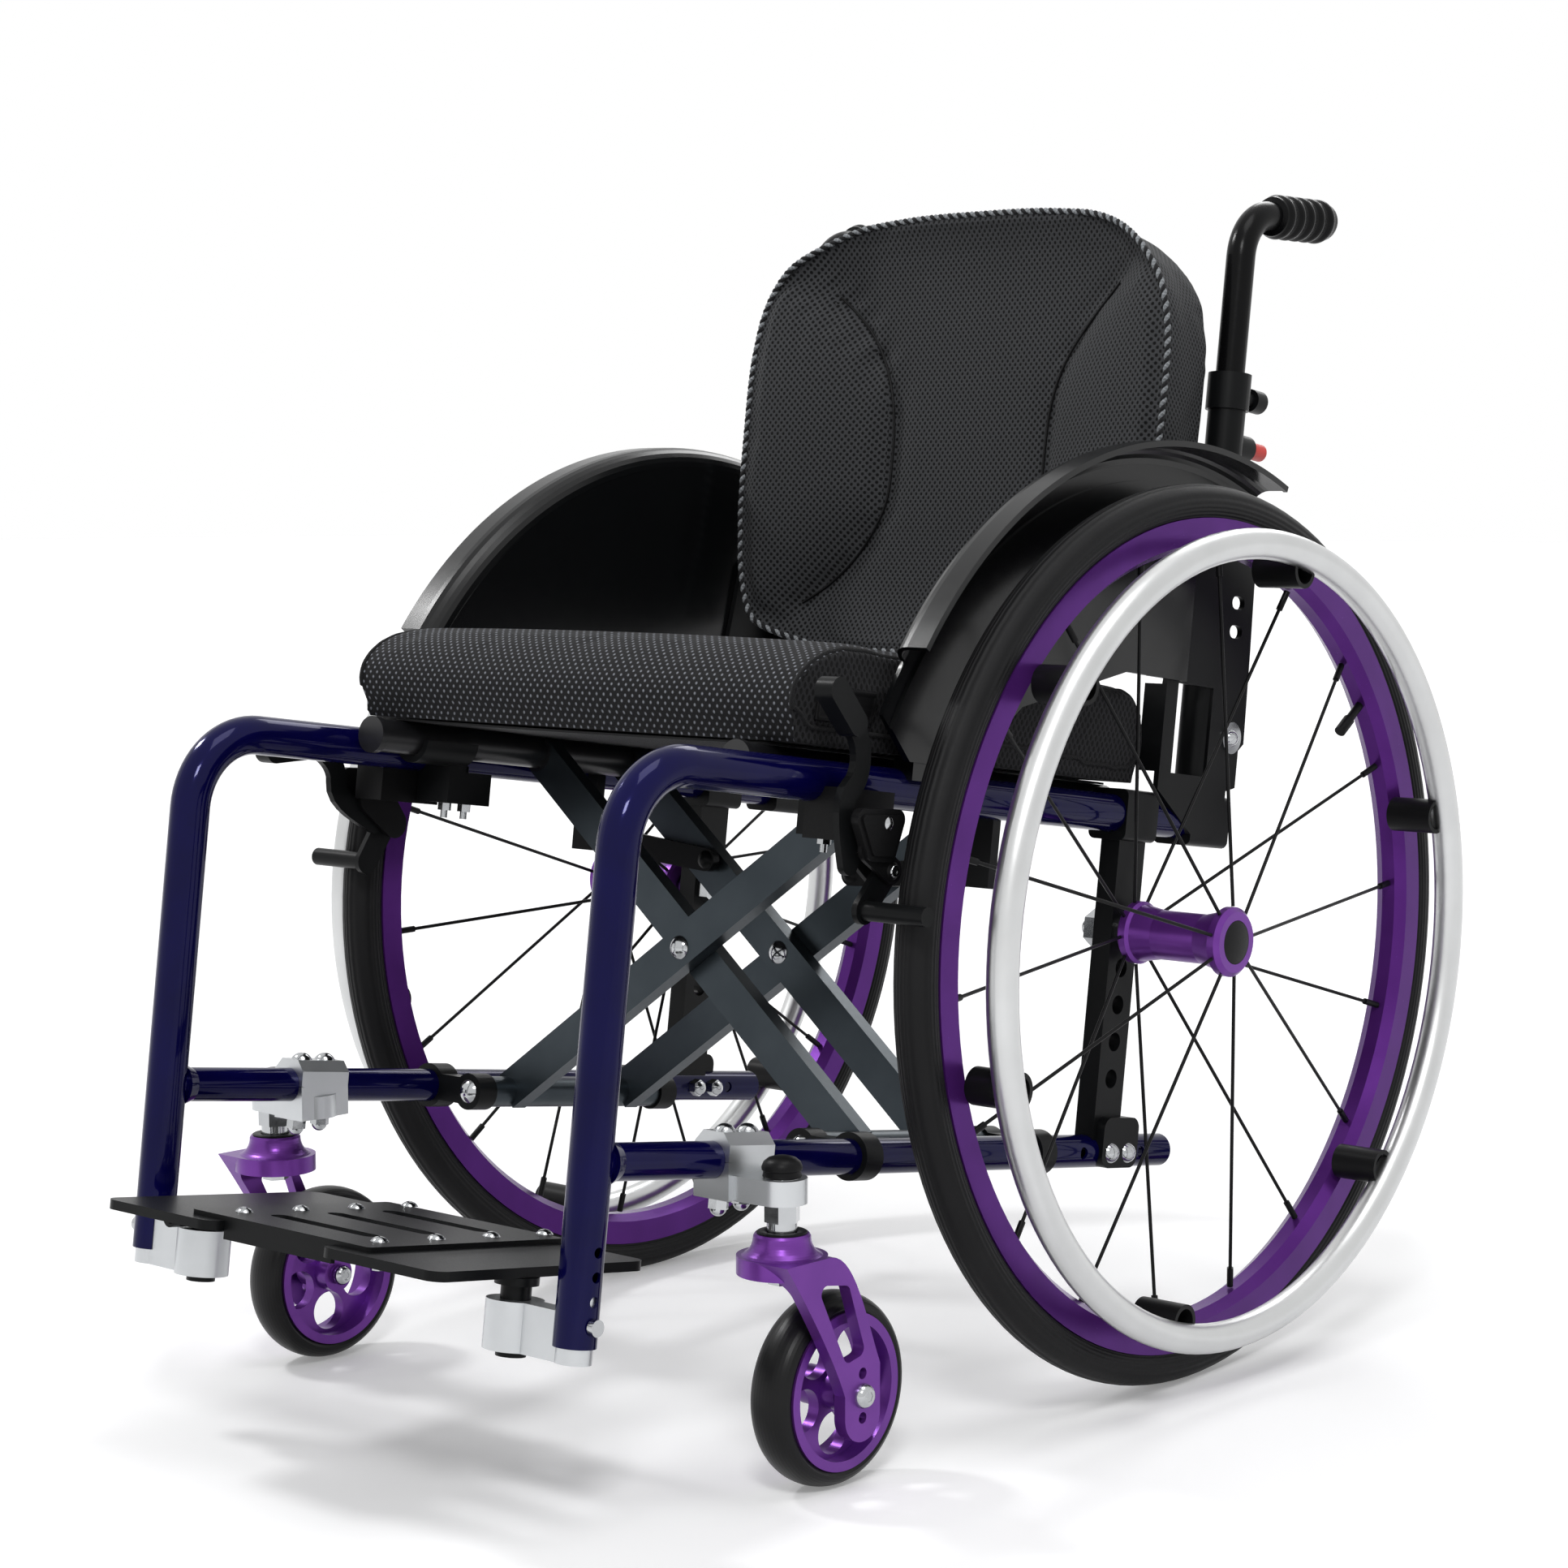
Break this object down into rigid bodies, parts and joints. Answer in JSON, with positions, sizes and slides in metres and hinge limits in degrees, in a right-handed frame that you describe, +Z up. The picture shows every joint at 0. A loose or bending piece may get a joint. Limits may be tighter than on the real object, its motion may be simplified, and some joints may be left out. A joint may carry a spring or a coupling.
{
  "type": "wheelchair",
  "caption": "Folding active wheelchair with a dark blue tube frame, purple spoked wheels and casters, silver handrims, black guards and a padded seat and back",
  "frame": {"origin": "middle of the box around the chair, on the floor", "axes": "+X is the rider's left, -Y is forward, +Z is up"},
  "size_m": [0.608, 0.8826, 0.7965],
  "materials": {
    "frame_paint": "gloss",
    "black_parts": "satin",
    "silver_parts": "satin",
    "brace_grey": "satin",
    "purple_anodised": "satin",
    "handrim_silver": "satin",
    "bright_bolts": "polished",
    "black_plastic": "matte",
    "guard_plastic": "gloss",
    "handle_black": "gloss",
    "red_plastic": "gloss",
    "tyre_rubber": "matte",
    "spoke_black": "satin",
    "sling_fabric": "matte",
    "seat_fabric": "matte",
    "back_fabric": "matte"
  },
  "bodies": {
    "frame_right": {"side_frame_right": "frame_paint", "axle_bar_right": "black_parts", "caster_mount_right": "silver_parts", "foot_block_right": "silver_parts", "foot_post_right": "black_parts", "brace_seats_right": "black_parts", "brake_clamp_right": "black_plastic", "side_guard_right": "guard_plastic", "back_bracket_right": "black_parts", "frame_hardware_right": "bright_bolts", "back_cushion": "back_fabric"},
    "brace_a": {"brace_a": "brace_grey", "cross_bolts": "bright_bolts"},
    "brace_b": {"brace_b": "brace_grey"},
    "frame_left": {"side_frame_left": "frame_paint", "axle_bar_left": "black_parts", "caster_mount_left": "silver_parts", "foot_block_left": "silver_parts", "foot_post_left": "black_parts", "brace_seats_left": "black_parts", "brake_clamp_left": "black_plastic", "side_guard_left": "guard_plastic", "back_bracket_left": "black_parts", "frame_hardware_left": "bright_bolts"},
    "seat": {"seat_sling": "sling_fabric", "seat_cushion": "seat_fabric"},
    "footplate": {"footplate_centre": "black_parts", "footplate_sides": "black_plastic", "footplate_screws": "bright_bolts"},
    "fold_link_right": {"fold_link_right": "black_parts"},
    "wheel_right": {"tyre_right": "tyre_rubber", "rim_right": "purple_anodised", "spokes_right": "spoke_black", "hub_right": "purple_anodised", "handrim_right": "handrim_silver", "handrim_tabs_right": "black_plastic"},
    "hub_button_right": {"hub_button_right": "black_plastic"},
    "caster_fork_right": {"caster_fork_right": "purple_anodised"},
    "caster_wheel_right": {"caster_tyre_right": "tyre_rubber", "caster_wheel_right": "purple_anodised"},
    "brake_lever_right": {"brake_lever_right": "black_parts"},
    "brake_arm_right": {"brake_arm_right": "black_parts"},
    "push_handle_right": {"push_handle_right": "handle_black"},
    "release_button_right": {"release_button_right": "red_plastic"},
    "fold_link_left": {"fold_link_left": "black_parts"},
    "wheel_left": {"tyre_left": "tyre_rubber", "rim_left": "purple_anodised", "spokes_left": "spoke_black", "hub_left": "purple_anodised", "handrim_left": "handrim_silver", "handrim_tabs_left": "black_plastic"},
    "hub_button_left": {"hub_button_left": "black_plastic"},
    "caster_fork_left": {"caster_fork_left": "purple_anodised"},
    "caster_wheel_left": {"caster_tyre_left": "tyre_rubber", "caster_wheel_left": "purple_anodised"},
    "brake_lever_left": {"brake_lever_left": "black_parts"},
    "brake_arm_left": {"brake_arm_left": "black_parts"},
    "push_handle_left": {"push_handle_left": "handle_black"},
    "release_button_left": {"release_button_left": "red_plastic"}
  },
  "joints": [
    {"name": "fold", "type": "hinge", "parent": "frame_right", "child": "brace_a", "pos_m": [-0.15, -0.03531, 0.17129], "axis": [0, -0.991, 0.134], "range_deg": [0, 40], "deforming": ["seat_cushion", "seat_sling", "back_cushion"]},
    {"name": "brace_cross", "type": "hinge", "parent": "brace_a", "child": "brace_b", "pos_m": [0, -0.02014, 0.28349], "axis": [0, -0.991, 0.134], "range_deg": [-80, 0]},
    {"name": "left_pivot", "type": "hinge", "parent": "brace_b", "child": "frame_left", "pos_m": [0.15, -0.03531, 0.17129], "axis": [0, -0.991, 0.134], "range_deg": [0, 40]},
    {"name": "seat_lift", "type": "hinge", "parent": "brace_b", "child": "seat", "pos_m": [-0.162, -0.00375, 0.40466], "axis": [0, -0.991, 0.134], "range_deg": [0, 40]},
    {"name": "footplate_flip", "type": "hinge", "parent": "frame_right", "child": "footplate", "pos_m": [-0.146, -0.36988, 0.13731], "axis": [0, -0.991, 0.134], "range_deg": [0, 90]},
    {"name": "link_right", "type": "hinge", "parent": "frame_right", "child": "fold_link_right", "pos_m": [-0.178, 0.01762, 0.34627], "axis": [0, -0.991, 0.134], "range_deg": [0, 66]},
    {"name": "wheel_spin_right", "type": "hinge", "parent": "frame_right", "child": "wheel_right", "pos_m": [-0.248, 0.14328, 0.298], "axis": [1, 0, 0], "continuous": true},
    {"name": "hub_button_press_right", "type": "slide", "parent": "wheel_right", "child": "hub_button_right", "axis": [1, 0, 0], "range_m": [0, 0.003], "stiffness_N_per_m": 300},
    {"name": "caster_swivel_right", "type": "hinge", "parent": "frame_right", "child": "caster_fork_right", "pos_m": [-0.228, -0.23945, 0.15], "axis": [0, 0, 1], "continuous": true},
    {"name": "caster_spin_right", "type": "hinge", "parent": "caster_fork_right", "child": "caster_wheel_right", "pos_m": [-0.228, -0.19845, 0.059], "axis": [1, 0, 0], "continuous": true},
    {"name": "brake_right", "type": "hinge", "parent": "frame_right", "child": "brake_lever_right", "pos_m": [-0.219, -0.15776, 0.38512], "axis": [1, 0, 0], "range_deg": [-51, 0]},
    {"name": "brake_arm_swing_right", "type": "hinge", "parent": "frame_right", "child": "brake_arm_right", "pos_m": [-0.224, -0.14035, 0.3646], "axis": [1, 0, 0], "range_deg": [-9, 0]},
    {"name": "handle_height_right", "type": "slide", "parent": "frame_right", "child": "push_handle_right", "axis": [0, 0.134, 0.991], "range_m": [-0.05, 0.08]},
    {"name": "release_press_right", "type": "slide", "parent": "frame_right", "child": "release_button_right", "axis": [0, -0.991, 0.134], "range_m": [0, 0.005], "stiffness_N_per_m": 300},
    {"name": "link_left", "type": "hinge", "parent": "frame_left", "child": "fold_link_left", "pos_m": [0.178, 0.01762, 0.34627], "axis": [0, -0.991, 0.134], "range_deg": [-66, 0]},
    {"name": "wheel_spin_left", "type": "hinge", "parent": "frame_left", "child": "wheel_left", "pos_m": [0.248, 0.14328, 0.298], "axis": [1, 0, 0], "continuous": true},
    {"name": "hub_button_press_left", "type": "slide", "parent": "wheel_left", "child": "hub_button_left", "axis": [-1, 0, 0], "range_m": [0, 0.003], "stiffness_N_per_m": 300},
    {"name": "caster_swivel_left", "type": "hinge", "parent": "frame_left", "child": "caster_fork_left", "pos_m": [0.228, -0.23945, 0.15], "axis": [0, 0, 1], "continuous": true},
    {"name": "caster_spin_left", "type": "hinge", "parent": "caster_fork_left", "child": "caster_wheel_left", "pos_m": [0.228, -0.19845, 0.059], "axis": [1, 0, 0], "continuous": true},
    {"name": "brake_left", "type": "hinge", "parent": "frame_left", "child": "brake_lever_left", "pos_m": [0.219, -0.15776, 0.38512], "axis": [1, 0, 0], "range_deg": [0, 51]},
    {"name": "brake_arm_swing_left", "type": "hinge", "parent": "frame_left", "child": "brake_arm_left", "pos_m": [0.224, -0.14035, 0.3646], "axis": [1, 0, 0], "range_deg": [0, 9]},
    {"name": "handle_height_left", "type": "slide", "parent": "frame_left", "child": "push_handle_left", "axis": [0, 0.134, 0.991], "range_m": [-0.05, 0.08]},
    {"name": "release_press_left", "type": "slide", "parent": "frame_left", "child": "release_button_left", "axis": [0, -0.991, 0.134], "range_m": [0, 0.005], "stiffness_N_per_m": 300}
  ],
  "couplings": [
    {"joint": "brace_cross", "follows": "fold", "ratio": -2},
    {"joint": "left_pivot", "follows": "fold", "ratio": 1},
    {"joint": "seat_lift", "follows": "fold", "ratio": 1},
    {"joint": "footplate_flip", "follows": "fold", "ratio": 2.25},
    {"joint": "link_right", "follows": "fold", "ratio": 1.65},
    {"joint": "brake_arm_swing_right", "follows": "brake_right", "ratio": 0.17647},
    {"joint": "link_left", "follows": "fold", "ratio": -1.65},
    {"joint": "brake_arm_swing_left", "follows": "brake_left", "ratio": 0.17647}
  ]
}
